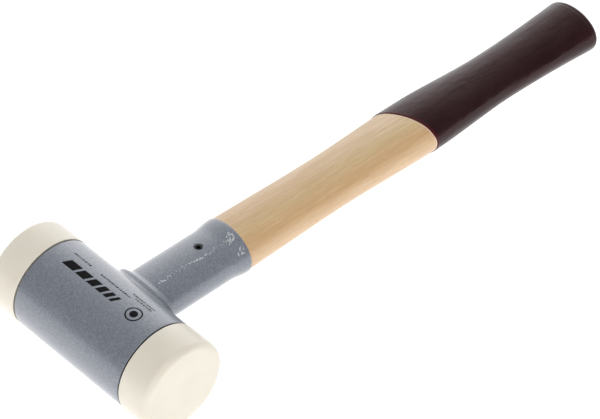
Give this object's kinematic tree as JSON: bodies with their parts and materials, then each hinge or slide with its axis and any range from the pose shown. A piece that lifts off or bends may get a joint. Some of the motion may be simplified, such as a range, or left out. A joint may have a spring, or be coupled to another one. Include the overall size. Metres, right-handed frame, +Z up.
{
  "type": "dead-blow soft-face mallet",
  "caption": "Shot-filled tubular steel mallet head with nylon striking faces, an oval welded socket and a dipped hickory handle, lying on its side.",
  "frame": {"origin": "on the floor, under the middle of the mallet's length and width, with the mallet lying on its side", "axes": "+X along the head's axis out of the near striking face, +Y along the handle towards its knob, +Z up"},
  "size_m": [0.138, 0.4334, 0.0605],
  "materials": {
    "coated_steel": "slate grey-blue hammertone powder coat, fine mottle",
    "nylon": "ivory cast nylon, slightly translucent, satin",
    "bright_steel": "plain bright steel",
    "spring_steel": "blackened spring steel",
    "hickory": "light straight-grained hickory, satin lacquer",
    "dip_coating": "dark aubergine-brown gloss dip coating"
  },
  "bodies": {
    "head": {"head_housing": "coated_steel", "near_chamber_disc": "bright_steel", "far_chamber_disc": "bright_steel", "near_snap_ring": "spring_steel", "far_snap_ring": "spring_steel", "socket_tube": "coated_steel", "socket_collar": "coated_steel", "weld_bead": "coated_steel", "handle": "hickory", "grip_coating": "dip_coating", "spring_pin": "spring_steel"},
    "shot_charge": {"steel_shot": "bright_steel"},
    "near_face": {"near_face": "nylon"},
    "far_face": {"far_face": "nylon"}
  },
  "joints": [
    {"name": "shot_slide", "type": "slide", "parent": "head", "child": "shot_charge", "axis": [1, 0, 0], "range_m": [-0.0085, 0.0085]},
    {"name": "near_face_pull", "type": "slide", "parent": "head", "child": "near_face", "axis": [1, 0, 0], "range_m": [0, 0.03]},
    {"name": "far_face_pull", "type": "slide", "parent": "head", "child": "far_face", "axis": [-1, 0, 0], "range_m": [0, 0.03]}
  ]
}
